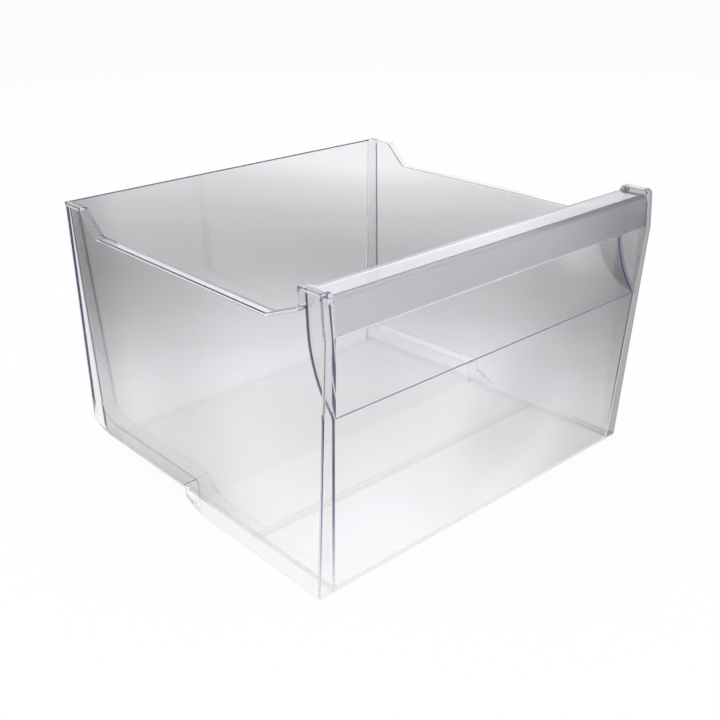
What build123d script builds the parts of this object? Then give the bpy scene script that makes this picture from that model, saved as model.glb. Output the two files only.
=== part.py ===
from build123d import *
from math import cos, radians, sin, sqrt, tan
import os

# A freezer drawer, moulded in one piece of clear plastic: an open tub with drafted side walls, a flange that
# borders each side, and a grip moulded into the top of the front.
# The frame has +Z up and the front facing -Y, with the origin under the middle of the drawer.

# Overall sizes, in millimetres
width = 400.0  # across the outer edges of the side flanges
depth = 382.0  # from the front of the grip's lip to the back wall
height = 263.5  # to the tops of the grip's cheeks

# Thicknesses of the moulding
wall = 2.6  # front, back and side walls, the recess and the cheeks
floor = 2.8
flange = 2.6  # sheet that borders each side

# Side walls, set in from the flange's edge and drafted
foot_inset = 14.0  # at the floor
top_inset = 6.0  # at the full height

# Flange, as seen from the side, with its drops measured down from the cheek tops
rim_drop = 31.5  # to the level stretch along the side
ramp_drop = 17.0  # to where the front ramp meets the grip
ramp_run = 38.0
shelf_drop = 9.0  # to the level stretch at the back, and the back wall
shelf_length = 35.0
shelf_ramp_run = 24.5
ramp_round = 9.0
shelf_round = 3.0  # top of the back post
post_round = 28.0  # sweep from the back post into the runner rail
corner_round = 9.0  # upright back corners of the flange, seen from above
edge_round = 1.2  # outer edges of the flange

# Runner rail at the rear and the foot in front of it
rail_height = 20.0
rail_length = 174.5
step_round = 4.0
step_crease = 2.0  # where the rail turns down to the foot
lead_in_length = 23.0  # bevel across the outer corner at the rear end of the foot
lead_in_depth = 7.0
lead_in_height = 10.5

# Front wall
front_lean = 3.9  # degrees, top forwards
front_foot_round = 2.5

# Grip: lip, top strip, curved finger recess and end cheeks
lip_height = 34.5  # from the cheek tops down to the lip's lower edge
lip_rake = 2.3  # how far the lip falls back from its lower edge to the cheek top
lip_wall = 2.6
lip_round = 1.2  # both sides of the lower edge
cheek_width = 9.0  # at the top
cheek_slope = 2.4  # how far the inner side runs in down to the strip
cheek_round = 5.0
riser_round = 1.6  # rear edge of the cheek's top
strip_drop = 3.5  # top strip below the cheek tops
strip_wall = 2.6
strip_round = 4.0  # front edge
strip_back_round = 0.9
grip_depth = 27.5  # from the front of the lip to the back of the recess
recess_radius = 104.0
recess_rise = 34.5  # from where the recess turns from curved to upright up to the cheek tops
recess_round = 2.0

# Tub inside and underneath
heel_round = 12.0  # bottom back edge
tub_round = 5.0  # bottom side edges
storage_round = 3.0  # foot of the walls, inside
storage_corner_round = 2.2  # upright back corners, inside
mouth_round = 1.0  # inner edge of the rim and of the back wall's top

# Bead across the floor
bead_setback = 104.0  # from the foot of the front wall
bead_width = 9.0
bead_height = 1.3

cut_past = 10.0  # how far cutting shapes run past the surface that they open

# Places worked out from the sizes above
lean = radians(front_lean)
rim_height = height - rim_drop
ramp_height = height - ramp_drop
shelf_height = height - shelf_drop
lip_foot = height - lip_height
recess_spring = height - recess_rise
y_front = -depth / 2
y_back = depth / 2
y_foot = y_front + lip_foot * tan(lean)
y_grip = y_front + grip_depth
y_riser = y_grip + wall
y_shelf = y_back - shelf_length
y_step = y_back - rail_length
z_strip = height - strip_drop


def half_width(z):
    """Half of the tub's outside width at a height, between the drafted side walls."""
    return width / 2 - foot_inset + (foot_inset - top_inset) * z / height


def front_face(z, thickness=0.0):
    """Y of the front wall's outer face at a height, or of a face that lies behind it by a thickness."""
    return y_foot - z * tan(lean) + thickness / cos(lean)


def lip_face(z):
    """Y of the lip's outer face at a height."""
    return y_front + lip_rake * (z - lip_foot) / (height - lip_foot)


def recess_foot(radius, thickness=0.0):
    """Lower point where an arc of the recess meets the front wall's face at a thickness."""
    reach = (y_grip - recess_radius - front_face(recess_spring, thickness)) * cos(lean)
    half_chord = sqrt(radius**2 - reach**2)
    y = y_grip - recess_radius - reach * cos(lean) + half_chord * sin(lean)
    z = recess_spring - reach * sin(lean) - half_chord * cos(lean)
    return (y, z)


def side_outline(corners, inset=0.0):
    """Closed outline in the side view from (y, z, corner radius), drawn in all round by an inset."""
    points = [(y, z) for y, z, radius in corners]
    radii = [radius for y, z, radius in corners]
    with BuildSketch(Plane.YZ) as outline:
        with BuildLine():
            FilletPolyline(*points, radius=radii, close=True)
        make_face()
        if inset:
            offset(amount=-inset, mode=Mode.REPLACE)
    return outline.sketch


def cross_section(inset, z_high, foot_round):
    """Drafted section of the tub up to a height, seen from the front, in by an inset at each side."""
    low = half_width(0) - inset
    high = half_width(z_high) - inset
    corners = [(-low, 0), (low, 0), (high, z_high), (-high, z_high)]
    with BuildSketch(Plane.XZ) as section:
        with BuildLine():
            FilletPolyline(*corners, radius=[foot_round, foot_round, 0, 0], close=True)
        make_face()
    return section.sketch


def foot_bevel(thickness=0.0):
    """Rear corners of both feet that the bevel cuts off, or a face that lies in from it by a thickness."""
    facing = Vector(1 / lead_in_depth, 1 / lead_in_length, -1 / lead_in_height)
    grow = 1 + thickness * facing.length
    corner = Vector(width / 2, y_step, 0)
    with BuildPart() as bevel:
        with BuildSketch():
            with BuildLine():
                Polyline(
                    corner,
                    corner - (lead_in_depth * grow, 0, 0),
                    corner - (0, lead_in_length * grow, 0),
                    close=True,
                )
            make_face()
        extrude(amount=lead_in_height * grow)
        split(bisect_by=Plane(corner + (0, 0, lead_in_height * grow), z_dir=facing), keep=Keep.TOP)
        mirror(about=Plane.YZ)
    return bevel.part


# The flange and the tub share the upper outline: up the front, over the cheek, along the rim to the back
crown = [
    (y_foot, 0, front_foot_round),
    (y_front, lip_foot, 0),
    (lip_face(height), height, cheek_round),
    (y_riser, height, riser_round),
    (y_riser, ramp_height, step_round),
    (y_riser + ramp_run, rim_height, ramp_round),
    (y_shelf - shelf_ramp_run, rim_height, ramp_round),
    (y_shelf, shelf_height, ramp_round),
    (y_back, shelf_height, shelf_round),
]
flange_corners = crown + [
    (y_back, rail_height, post_round),
    (y_step, rail_height, step_crease),
    (y_step, 0, step_round),
]
tub_corners = crown + [(y_back, 0, heel_round)]
flange_outline = side_outline(flange_corners)
pocket_outline = side_outline(flange_corners, flange)
tub_outline = side_outline(tub_corners)
tub_section = cross_section(0, height, tub_round)
inner_section = cross_section(wall, height + cut_past, 0)

# Outside of the tub
with BuildPart() as tub:
    extrude(tub_outline, amount=width / 2, both=True)
    extrude(tub_section, amount=depth, both=True, mode=Mode.INTERSECT)

# Space for the food, which the tub's walls, the floor and the back of the recess close in
with BuildPart() as storage:
    recess_back = recess_foot(recess_radius + wall, wall)
    with BuildSketch(Plane.YZ):
        with BuildLine():
            Polyline(
                recess_back,
                (front_face(floor, wall), floor),
                (y_back - wall, floor),
                (y_back - wall, height + cut_past),
                (y_riser, height + cut_past),
                (y_riser, recess_spring),
            )
            TangentArc((y_riser, recess_spring), recess_back, tangent=(0, -1))
        make_face()
    extrude(amount=width / 2, both=True)
    extrude(inner_section, amount=depth, both=True, mode=Mode.INTERSECT)
    back_uprights = storage.faces().sort_by(Axis.Y)[-1].edges().filter_by(Axis.X, reverse=True)
    fillet(back_uprights, radius=storage_corner_round)
    fillet(storage.faces().sort_by(Axis.Z)[0].edges(), radius=storage_round)


def borders_mouth(edge):
    """Whether an edge lies round the mouth of the storage space, from the grip along to the back wall."""
    middle = edge.center()
    beside_storage = storage.part.distance_to(middle) < 0.01
    below_strip = recess_spring < middle.Z < z_strip - strip_wall
    return beside_storage and below_strip and middle.Y > y_riser - wall / 2


# Finger recess behind the lip, closed at its ends by the cheeks
with BuildPart() as recess:
    recess_front = recess_foot(recess_radius)
    z_roof = z_strip - strip_wall
    lip_nose = (lip_face(lip_foot + lip_round), lip_foot + lip_round)
    lip_front = (lip_nose[0] + lip_round, lip_foot)
    lip_heel = (lip_nose[0] + lip_wall, lip_foot + lip_round)
    lip_back = (lip_heel[0] - lip_round, lip_foot)
    with BuildSketch(Plane.YZ):
        with BuildLine():
            TangentArc((y_grip, recess_spring), recess_front, tangent=(0, -1))
            Polyline(
                recess_front,
                (y_front - cut_past, recess_front[1]),
                (y_front - cut_past, lip_nose[1]),
                lip_nose,
            )
            TangentArc(lip_nose, lip_front, tangent=(0, -1))
            Line(lip_front, lip_back)
            TangentArc(lip_back, lip_heel, tangent=(1, 0))
            Polyline(
                lip_heel,
                (lip_face(z_roof) + lip_wall, z_roof),
                (y_grip, z_roof),
                (y_grip, recess_spring),
            )
        make_face()
    extrude(amount=width / 2, both=True)
    extrude(inner_section, amount=depth, both=True, mode=Mode.INTERSECT)
    fillet(recess.faces().sort_by(Axis.Z)[-1].edges().filter_by(Axis.X), radius=recess_round)

# Hollow between the flange's sheet and the tub, open at the sides; behind the opening the sheet curls round
# the back corner
with BuildPart() as pocket:
    extrude(pocket_outline, amount=width / 2 + cut_past, both=True)
    x_sheet = width / 2 - flange
    y_opening = y_back - corner_round
    with BuildSketch():
        with BuildLine():
            FilletPolyline(
                (-x_sheet, y_front),
                (x_sheet, y_front),
                (x_sheet, y_back - flange),
                (-x_sheet, y_back - flange),
                radius=[0, 0, corner_round - flange, corner_round - flange],
                close=True,
            )
        make_face()
        with Locations((0, (y_front + y_opening) / 2)):
            Rectangle(width + 2 * cut_past, y_opening - y_front)
    extrude(amount=height, mode=Mode.INTERSECT)
    add(foot_bevel(flange), mode=Mode.SUBTRACT)

# Air above the top strip, which lies between the sloped cheeks and has a rounded front edge
with BuildPart() as strip_top:
    strip_nose = (lip_face(z_strip - strip_round), z_strip - strip_round)
    strip_front = (lip_face(z_strip) + strip_round, z_strip)
    with BuildSketch(Plane.YZ):
        with BuildLine():
            TangentArc(strip_front, strip_nose, tangent=(-1, 0))
            Polyline(
                strip_nose,
                (y_front - cut_past, strip_nose[1]),
                (y_front - cut_past, height + cut_past),
                (y_riser + cut_past, height + cut_past),
                (y_riser + cut_past, z_strip),
                strip_front,
            )
        make_face()
    extrude(amount=width / 2, both=True)
    x_crest = width / 2 - cheek_width
    x_strip = x_crest - cheek_slope
    with BuildSketch(Plane.XZ):
        with BuildLine():
            Polyline(
                (x_strip, 0),
                (x_strip, z_strip),
                (x_crest, height),
                (x_crest, height + cut_past),
                (-x_crest, height + cut_past),
                (-x_crest, height),
                (-x_strip, z_strip),
                (-x_strip, 0),
                close=True,
            )
        make_face()
    extrude(amount=depth, both=True, mode=Mode.INTERSECT)

# Bead across the floor, a low arch sunk a little into it
with BuildPart() as bead:
    y_bead = y_foot + bead_setback
    with BuildSketch(Plane.YZ):
        with BuildLine():
            bead_foot = [(y_bead - bead_width / 2, floor), (y_bead + bead_width / 2, floor)]
            ThreePointArc(bead_foot[0], (y_bead, floor + bead_height), bead_foot[1])
            Polyline(bead_foot[1], (y_bead, floor / 2), bead_foot[0])
        make_face()
    extrude(amount=half_width(floor) - wall / 2, both=True)

# The whole moulding
with BuildPart() as drawer_moulding:
    # Block inside the flange's outer edge, with upright back corners rounded in plan
    extrude(flange_outline, amount=width / 2, both=True)
    fillet(drawer_moulding.faces().filter_by(Axis.X).edges(), radius=edge_round)
    with BuildSketch():
        with BuildLine():
            FilletPolyline(
                (-width / 2, y_front),
                (width / 2, y_front),
                (width / 2, y_back),
                (-width / 2, y_back),
                radius=[0, 0, corner_round, corner_round],
                close=True,
            )
        make_face()
    extrude(amount=height, mode=Mode.INTERSECT)

    # The flange as a sheet round each side, then the tub's walls and floor, the space inside and the grip
    add(pocket.part, mode=Mode.SUBTRACT)
    add(foot_bevel(), mode=Mode.SUBTRACT)
    add(tub.part)
    add(storage.part, mode=Mode.SUBTRACT)
    add(bead.part)
    add(recess.part, mode=Mode.SUBTRACT)
    add(strip_top.part, mode=Mode.SUBTRACT)

    # Rounded edges round the mouth of the storage space and behind the top strip
    fillet(drawer_moulding.edges().filter_by(borders_mouth), radius=mouth_round)
    strip_edges = drawer_moulding.edges().filter_by(Axis.X).filter_by_position(Axis.Z, z_strip, z_strip)
    fillet(strip_edges.sort_by(Axis.Y)[-1], radius=strip_back_round)

drawer_moulding.part.label = "drawer_moulding"
os.makedirs("parts", exist_ok=True)
export_step(drawer_moulding.part, "parts/drawer_moulding.step")
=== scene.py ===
from math import radians

import bpy
from mathutils import Matrix, Vector


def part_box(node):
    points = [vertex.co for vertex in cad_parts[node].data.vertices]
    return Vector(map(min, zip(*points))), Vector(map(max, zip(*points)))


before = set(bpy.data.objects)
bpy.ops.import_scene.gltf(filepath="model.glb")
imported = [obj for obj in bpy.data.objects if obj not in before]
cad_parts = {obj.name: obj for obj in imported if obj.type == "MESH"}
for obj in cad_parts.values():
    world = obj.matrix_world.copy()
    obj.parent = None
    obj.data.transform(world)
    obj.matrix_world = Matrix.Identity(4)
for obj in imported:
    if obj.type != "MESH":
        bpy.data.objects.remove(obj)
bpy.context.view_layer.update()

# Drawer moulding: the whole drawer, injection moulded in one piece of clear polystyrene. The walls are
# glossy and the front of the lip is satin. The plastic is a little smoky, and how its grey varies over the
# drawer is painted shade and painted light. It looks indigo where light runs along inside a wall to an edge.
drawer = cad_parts["drawer_moulding"]
drawer_low, drawer_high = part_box("drawer_moulding")

clear_polystyrene = bpy.data.materials.new("clear_polystyrene")
clear_polystyrene.use_nodes = True
plastic_nodes = clear_polystyrene.node_tree.nodes
plastic_links = clear_polystyrene.node_tree.links
plastic_nodes.clear()
place = plastic_nodes.new("ShaderNodeTexCoord").outputs["Object"]
along = plastic_nodes.new("ShaderNodeSeparateXYZ")
plastic_links.new(place, along.inputs["Vector"])
rightwards = along.outputs["X"]
backwards = along.outputs["Y"]
upwards = along.outputs["Z"]


def plastic_feed(socket, term):
    """Links an input to another node's output, or sets it to a plain value."""
    if isinstance(term, bpy.types.NodeSocket):
        plastic_links.new(term, socket)
    else:
        socket.default_value = term


def plastic_math(operation, *terms):
    """Result of one step of arithmetic on outputs and plain numbers."""
    step = plastic_nodes.new("ShaderNodeMath")
    step.operation = operation
    for socket, term in zip(step.inputs, terms):
        plastic_feed(socket, term)
    return step.outputs["Value"]


def plastic_measure(operation, point, other):
    """Dot product or distance of a point and a fixed one."""
    measure = plastic_nodes.new("ShaderNodeVectorMath")
    measure.operation = operation
    plastic_feed(measure.inputs[0], point)
    plastic_feed(measure.inputs[1], other)
    return measure.outputs["Value"]


def plastic_mix(factor, first, second, blend="MIX"):
    """Colour mixed from two others."""
    mix = plastic_nodes.new("ShaderNodeMix")
    mix.data_type = "RGBA"
    mix.blend_type = blend
    plastic_feed(mix.inputs["Factor"], factor)
    plastic_feed(mix.inputs["A"], first)
    plastic_feed(mix.inputs["B"], second)
    return mix.outputs["Result"]


def plastic_rise(value, low, high, start=0.0, stop=1.0):
    """Smooth change from one level to another while a value goes from a low limit to a high one."""
    rise = plastic_nodes.new("ShaderNodeMapRange")
    rise.interpolation_type = "SMOOTHSTEP"
    rise.inputs["From Min"].default_value = low
    rise.inputs["From Max"].default_value = high
    rise.inputs["To Min"].default_value = start
    rise.inputs["To Max"].default_value = stop
    plastic_links.new(value, rise.inputs["Value"])
    return rise.outputs["Result"]


def plastic_fall(value, low, high):
    """Mask that is 1 up to a low limit and fades to 0 at a high one."""
    return plastic_rise(value, low, high, 1.0, 0.0)


def plastic_product(first, *others):
    """Product of masks, or of the clouds' tone and levels of painted shade and painted light."""
    product = first
    for other in others:
        product = plastic_math("MULTIPLY", product, other)
    return product


def plastic_band(value, low, high, soft):
    """Mask that is 1 where a value lies between two limits, with soft ends."""
    return plastic_product(plastic_rise(value, low - soft, low), plastic_fall(value, high, high + soft))


def plastic_painted_level(mask, painted_level):
    """Painted level, 1 outside a mask and a given level inside it: below 1 it paints shade, above 1 light.
    """
    return plastic_rise(mask, 0.0, 1.0, 1.0, painted_level)


def plastic_painted_height_shade(name, value, low, stops):
    """Painted shade over the drawer's height above a low point, from pairs of a height share and a level."""
    blue_share = 1.015
    share = plastic_nodes.new("ShaderNodeMapRange")
    share.inputs["From Min"].default_value = low
    share.inputs["From Max"].default_value = low + drawer_high.z - drawer_low.z
    plastic_links.new(value, share.inputs["Value"])
    ramp = plastic_nodes.new("ShaderNodeValToRGB")
    ramp.name = name
    ramp.color_ramp.interpolation = "CARDINAL"
    levels = ramp.color_ramp.elements
    levels.remove(levels[1])
    for number, (height_share, painted_level) in enumerate(stops):
        level = levels.new(height_share) if number else levels[0]
        level.position = height_share
        level.color = (painted_level, painted_level, painted_level * blue_share, 1.0)
    plastic_links.new(share.outputs["Result"], ramp.inputs["Fac"])
    return ramp.outputs["Color"]


# Painted shade over the height, palest at the floor and along the rim. It is faint in the front and left
# walls. In the back and right walls it is deep, in a belt that lies higher on the left.
belt_lean_right = 0.26
belt_lean_back = 0.2
belt_lift = 0.006
belt_height = plastic_measure("DOT_PRODUCT", place, (belt_lean_right, belt_lean_back, 1.0))
belt_foot = belt_lean_back * drawer_high.y + belt_lift
pale_painted_shade = plastic_painted_height_shade(
    "pale_painted_shade",
    upwards,
    drawer_low.z,
    ((0.00, 1.00), (0.15, 0.99), (0.30, 0.96), (0.45, 0.91), (0.60, 0.87), (0.80, 0.87), (1.00, 0.95)),
)
deep_painted_shade = plastic_painted_height_shade(
    "deep_painted_shade",
    belt_height,
    drawer_low.z + belt_foot,
    ((0.00, 1.00), (0.15, 0.86), (0.30, 0.68), (0.45, 0.54), (0.58, 0.51), (0.70, 0.57), (0.80, 0.65),
     (0.92, 0.79), (1.00, 0.92)),
)
right_weight = 1.7
right_reach = plastic_math("MAXIMUM", rightwards, 0.0)
back_right = plastic_math("MULTIPLY_ADD", right_reach, right_weight, backwards)
height_painted_shade = plastic_mix(plastic_rise(back_right, 0.02, 0.18), pale_painted_shade, deep_painted_shade)

# Painted shade: the left wall is a little deeper all over, and so is the right end of the front
left_wall = plastic_product(plastic_fall(rightwards, -0.19, -0.13), plastic_rise(backwards, -0.14, 0.08))
left_painted_shade = plastic_painted_level(left_wall, 0.78)
front_right = plastic_math("SUBTRACT", rightwards, backwards)
right_painted_shade = plastic_rise(front_right, 0.17, 0.34, 1.0, 0.82)
lip_end = plastic_product(plastic_rise(front_right, 0.18, 0.36), plastic_fall(backwards, -0.172, -0.162))
lip_end_painted_shade = plastic_painted_level(lip_end, 0.88)

# Painted light makes the recess paler at that end, and painted shade makes the cheek and the top strip
# deeper.
# The draft value follows the lean of the side walls, so that it stays the same all the way up a wall.
side_lean = 0.0304
draft = plastic_math("MULTIPLY_ADD", upwards, -side_lean, plastic_math("ABSOLUTE", rightwards))
grip_end = plastic_rise(front_right, 0.20, 0.34)
grip_depth = plastic_fall(backwards, -0.164, -0.158)
recess_height = plastic_band(upwards, 0.185, 0.228, 0.03)
recess_depth = plastic_rise(backwards, -0.187, -0.182)
recess_painted_light = plastic_painted_level(plastic_product(recess_height, recess_depth, grip_end), 1.25)
cheek_side = plastic_rise(draft, 0.1805, 0.1825)
cheek_height = plastic_band(upwards, 0.175, 0.235, 0.012)
cheek_painted_shade = plastic_painted_level(plastic_product(cheek_side, cheek_height, grip_depth, grip_end), 0.70)
between_cheeks = plastic_fall(draft, 0.1795, 0.1815)
strip_height = plastic_rise(upwards, 0.2565, 0.2585)
strip_run = plastic_rise(front_right, 0.12, 0.32)
strip_painted_shade = plastic_painted_level(plastic_product(between_cheeks, strip_height, grip_depth, strip_run), 0.60)

# Painted shade: the front wall is a little deeper in a round patch low down, right of its middle
patch_middle = (0.018, -0.180, 0.092)
patch_radius = 0.11
patch_round = plastic_fall(plastic_measure("DISTANCE", place, patch_middle), 0.0, patch_radius)
patch_depth = plastic_fall(backwards, -0.172, -0.165)
patch_painted_shade = plastic_painted_level(plastic_product(patch_round, patch_depth), 0.80)

# Painted shade: soft grey lines along the bead across the floor and along the foot of the side walls
bead_line = plastic_product(
    plastic_band(backwards, -0.0754, -0.0674, 0.003),
    plastic_fall(upwards, 0.0045, 0.006),
)
bead_painted_shade = plastic_painted_level(bead_line, 0.86)
wall_foot = plastic_product(
    plastic_rise(draft, 0.1800, 0.1825),
    plastic_band(upwards, 0.0030, 0.0070, 0.003),
)
foot_painted_shade = plastic_painted_level(wall_foot, 0.88)

# Faint clouds all over
clouds = plastic_nodes.new("ShaderNodeTexNoise")
clouds.inputs["Scale"].default_value = 9.0
clouds.inputs["Detail"].default_value = 3.0
plastic_links.new(place, clouds.inputs["Vector"])
cloud_smoke = plastic_nodes.new("ShaderNodeMapRange")
cloud_smoke.inputs["To Min"].default_value = 0.97
cloud_smoke.inputs["To Max"].default_value = 1.03
plastic_links.new(clouds.outputs["Fac"], cloud_smoke.inputs["Value"])
# The clouds' own tone, times all the painted shade and painted light above
clouds_and_painted_shade = plastic_product(
    cloud_smoke.outputs["Result"],
    left_painted_shade,
    right_painted_shade,
    lip_end_painted_shade,
    recess_painted_light,
    cheek_painted_shade,
    strip_painted_shade,
    patch_painted_shade,
    bead_painted_shade,
    foot_painted_shade,
)
wall_colour_and_painted_shade = plastic_mix(1.0, height_painted_shade, clouds_and_painted_shade, "MULTIPLY")

# Painted light: a faint lavender cast on the top strip and the lip's right end
painted_lavender = (0.95, 0.955, 1.0, 1.0)
lip_right = plastic_product(plastic_rise(upwards, 0.226, 0.230), plastic_rise(front_right, 0.28, 0.36))
painted_lavender_mask = plastic_product(plastic_math("MAXIMUM", strip_height, lip_right), grip_depth)
grip_colour = plastic_mix(painted_lavender_mask, wall_colour_and_painted_shade, painted_lavender, "MULTIPLY")

# The flanges stand out from the side walls and stay nearly clear. Painted shade greys them faintly over most
# of their height and at the left back post, and deeply at the right end of the grip
flange_share = plastic_rise(draft, 0.1862, 0.1872)
left_post = plastic_product(plastic_fall(rightwards, -0.1, 0.1), plastic_rise(backwards, 0.165, 0.182))
post_painted_shade = plastic_painted_level(left_post, 0.96)
rim_painted_shade = plastic_rise(upwards, 0.022, 0.040, 1.0, 0.94)
grip_painted_shade = plastic_rise(front_right, 0.28, 0.37, 1.0, 0.36)
flange_painted_shade = plastic_product(post_painted_shade, rim_painted_shade, grip_painted_shade)
piece_colour = plastic_mix(flange_share, grip_colour, flange_painted_shade)

# Painted shade: dark indigo lines where the recess meets the cheeks, about as thick as its wall, standing in
# for a dark edge. They follow its arc and then its upright back, which lies as far from the arc's axis, if
# height above the axis isn't counted.
recess_axis_y = -0.2675
recess_axis_z = 0.2290
painted_edge_indigo = (0.15, 0.15, 0.26, 1.0)
arc_spoke = plastic_nodes.new("ShaderNodeCombineXYZ")
plastic_links.new(plastic_math("SUBTRACT", backwards, recess_axis_y), arc_spoke.inputs["Y"])
arc_drop = plastic_math("MINIMUM", plastic_math("SUBTRACT", upwards, recess_axis_z), 0.0)
plastic_links.new(arc_drop, arc_spoke.inputs["Z"])
arc_reach = plastic_measure("DISTANCE", arc_spoke.outputs["Vector"], (0.0, 0.0, 0.0))
recess_painted_edge = plastic_product(
    plastic_band(arc_reach, 0.1023, 0.1054, 0.0006),
    plastic_band(draft, 0.1856, 0.1864, 0.0004),
)
painted_edge_colour = plastic_mix(recess_painted_edge, piece_colour, painted_edge_indigo)

# Satin on the lip's front and over its rounded top edge, between the cheeks. The floor inside is a little
# dull, and all else is glossy.
gloss_roughness = 0.03
satin_roughness = 0.45
floor_roughness = 0.22
lip_front = plastic_product(
    plastic_band(upwards, 0.2312, 0.2575, 0.0008),
    plastic_band(backwards, drawer_low.y - 0.001, drawer_low.y + 0.0024, 0.0003),
)
lip_nose = plastic_product(
    plastic_band(upwards, 0.2556, 0.2602, 0.0006),
    plastic_band(backwards, drawer_low.y - 0.001, drawer_low.y + 0.0050, 0.0012),
)
lip_width = plastic_band(rightwards, -0.1895, 0.1895, 0.0015)
lip_satin = plastic_product(plastic_math("MAXIMUM", lip_front, lip_nose), lip_width)
lip_finish = plastic_rise(lip_satin, 0.0, 1.0, gloss_roughness, satin_roughness)
floor_finish = plastic_rise(upwards, 0.004, 0.007, floor_roughness, 0.0)

plastic = plastic_nodes.new("ShaderNodeBsdfPrincipled")
plastic.inputs["Transmission Weight"].default_value = 1.0
plastic.inputs["IOR"].default_value = 1.59
plastic_links.new(painted_edge_colour, plastic.inputs["Base Color"])
plastic_links.new(plastic_math("MAXIMUM", lip_finish, floor_finish), plastic.inputs["Roughness"])
indigo = plastic_nodes.new("ShaderNodeVolumeAbsorption")
indigo.inputs["Color"].default_value = (0.50, 0.52, 0.66, 1.0)
indigo.inputs["Density"].default_value = 11.0

# Light passes the plastic to the floor, so that the shadow stays faint
plastic_rays = plastic_nodes.new("ShaderNodeLightPath")
shade = plastic_nodes.new("ShaderNodeBsdfTransparent")
shade.inputs["Color"].default_value = (0.97, 0.97, 0.98, 1.0)
plastic_or_shade = plastic_nodes.new("ShaderNodeMixShader")
plastic_links.new(plastic_rays.outputs["Is Shadow Ray"], plastic_or_shade.inputs["Fac"])
plastic_links.new(plastic.outputs["BSDF"], plastic_or_shade.inputs[1])
plastic_links.new(shade.outputs["BSDF"], plastic_or_shade.inputs[2])
plastic_output = plastic_nodes.new("ShaderNodeOutputMaterial")
plastic_links.new(plastic_or_shade.outputs["Shader"], plastic_output.inputs["Surface"])
plastic_links.new(indigo.outputs["Volume"], plastic_output.inputs["Volume"])
drawer.data.materials.clear()
drawer.data.materials.append(clear_polystyrene)

# Studio floor: a plain white sheet, which shows white to the camera and through the plastic and keeps a part
# of its lit shade, so that the drawer's shadow stays on it.
bpy.ops.object.select_all(action="DESELECT")
bpy.ops.mesh.primitive_plane_add(size=14.0, location=(0.0, 0.0, 0.0))
studio_floor = bpy.context.object
studio_floor.name = "studio_floor"
floor_white = bpy.data.materials.new("floor_white")
floor_white.use_nodes = True
floor_nodes = floor_white.node_tree.nodes
floor_links = floor_white.node_tree.links
floor_nodes.clear()


def background_rays(nodes, links):
    """Mask of the rays that see the plain background: from the camera, off gloss and through the plastic."""
    rays = nodes.new("ShaderNodeLightPath")
    direct = nodes.new("ShaderNodeMath")
    direct.operation = "ADD"
    links.new(rays.outputs["Is Camera Ray"], direct.inputs[0])
    links.new(rays.outputs["Is Glossy Ray"], direct.inputs[1])
    through = nodes.new("ShaderNodeMath")
    through.operation = "ADD"
    through.use_clamp = True
    links.new(direct.outputs["Value"], through.inputs[0])
    links.new(rays.outputs["Is Transmission Ray"], through.inputs[1])
    return through.outputs["Value"]


floor_lit = floor_nodes.new("ShaderNodeBsdfDiffuse")
floor_lit.inputs["Color"].default_value = (0.93, 0.93, 0.93, 1.0)
floor_plain = floor_nodes.new("ShaderNodeEmission")
floor_plain.inputs["Strength"].default_value = 1.0
floor_plainness = 0.9
floor_share = floor_nodes.new("ShaderNodeMath")
floor_share.operation = "MULTIPLY"
floor_share.inputs[1].default_value = floor_plainness
floor_links.new(background_rays(floor_nodes, floor_links), floor_share.inputs[0])
floor_mix = floor_nodes.new("ShaderNodeMixShader")
floor_links.new(floor_share.outputs["Value"], floor_mix.inputs["Fac"])
floor_links.new(floor_lit.outputs["BSDF"], floor_mix.inputs[1])
floor_links.new(floor_plain.outputs["Emission"], floor_mix.inputs[2])
floor_output = floor_nodes.new("ShaderNodeOutputMaterial")
floor_links.new(floor_mix.outputs["Shader"], floor_output.inputs["Surface"])
studio_floor.data.materials.append(floor_white)

# Studio surround: plain white behind the drawer and soft, slightly cool light from all round.
cool_white = (0.95, 0.96, 1.0)
surround = bpy.data.worlds.new("surround")
bpy.context.scene.world = surround
surround.use_nodes = True
surround_nodes = surround.node_tree.nodes
surround_links = surround.node_tree.links
surround_nodes.clear()
surround_light = surround_nodes.new("ShaderNodeBackground")
surround_light.inputs["Color"].default_value = (*cool_white, 1.0)
surround_light.inputs["Strength"].default_value = 0.75
surround_plain = surround_nodes.new("ShaderNodeBackground")
surround_plain.inputs["Color"].default_value = (1.0, 1.0, 1.0, 1.0)
surround_plain.inputs["Strength"].default_value = 1.0
surround_mix = surround_nodes.new("ShaderNodeMixShader")
surround_links.new(background_rays(surround_nodes, surround_links), surround_mix.inputs["Fac"])
surround_links.new(surround_light.outputs["Background"], surround_mix.inputs[1])
surround_links.new(surround_plain.outputs["Background"], surround_mix.inputs[2])
surround_output = surround_nodes.new("ShaderNodeOutputWorld")
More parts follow.
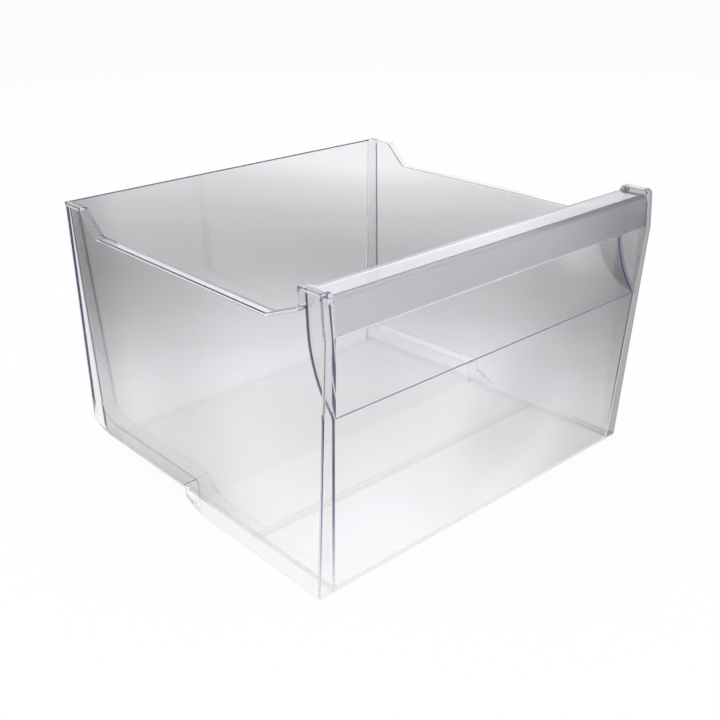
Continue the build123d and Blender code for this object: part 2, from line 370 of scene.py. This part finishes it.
surround_links.new(surround_mix.outputs["Shader"], surround_output.inputs["Surface"])

# Lamps: a soft box overhead, and a wide one behind that gleams along the grip's top strip and the rims.
lamp_target = Vector((0.0, 0.0, 0.15))
for lamp_name, lamp_place, lamp_size, lamp_power in (
    ("overhead_softbox", (-0.7, -0.5, 2.3), (1.6, 1.6), 26.0),
    ("rear_softbox", (1.5, 1.55, 1.25), (1.8, 0.9), 5.0),
):
    lamp_light = bpy.data.lights.new(lamp_name, "AREA")
    lamp_light.shape = "RECTANGLE"
    lamp_light.size = lamp_size[0]
    lamp_light.size_y = lamp_size[1]
    lamp_light.energy = lamp_power
    lamp_light.color = cool_white
    lamp = bpy.data.objects.new(lamp_name, lamp_light)
    bpy.context.scene.collection.objects.link(lamp)
    lamp.location = lamp_place
    lamp_aim = lamp_target - Vector(lamp_place)
    lamp.rotation_euler = lamp_aim.to_track_quat("-Z", "Y").to_euler()
    lamp.visible_camera = False
    lamp.visible_transmission = False
    lamp.visible_glossy = lamp_name == "rear_softbox"

# Camera: in front of the drawer, to its left and a little above it, as in the photograph.
camera_view = bpy.data.cameras.new("photo_camera")
camera_view.lens = 49.56
camera_view.sensor_width = 36.0
camera_view.shift_x = 0.002
camera = bpy.data.objects.new("photo_camera", camera_view)
bpy.context.scene.collection.objects.link(camera)
camera_heading = Matrix.Rotation(radians(-41.86), 4, "Z")
camera_pitch = Matrix.Rotation(radians(90.0 - 24.47), 4, "X")
camera_roll = Matrix.Rotation(radians(-0.75), 4, "Z")
camera_place = Matrix.Translation((-0.6016, -0.6733, 0.5015))
camera.matrix_world = camera_place @ camera_heading @ camera_pitch @ camera_roll
bpy.context.scene.camera = camera
bpy.context.scene.view_settings.view_transform = "Standard"

# Light is followed far along inside the walls, which gives their edges the plastic's own colour
wall_bounces = 96
bpy.context.scene.cycles.max_bounces = wall_bounces
bpy.context.scene.cycles.transmission_bounces = wall_bounces
bpy.context.scene.cycles.glossy_bounces = wall_bounces
bpy.context.scene.cycles.transparent_max_bounces = 32
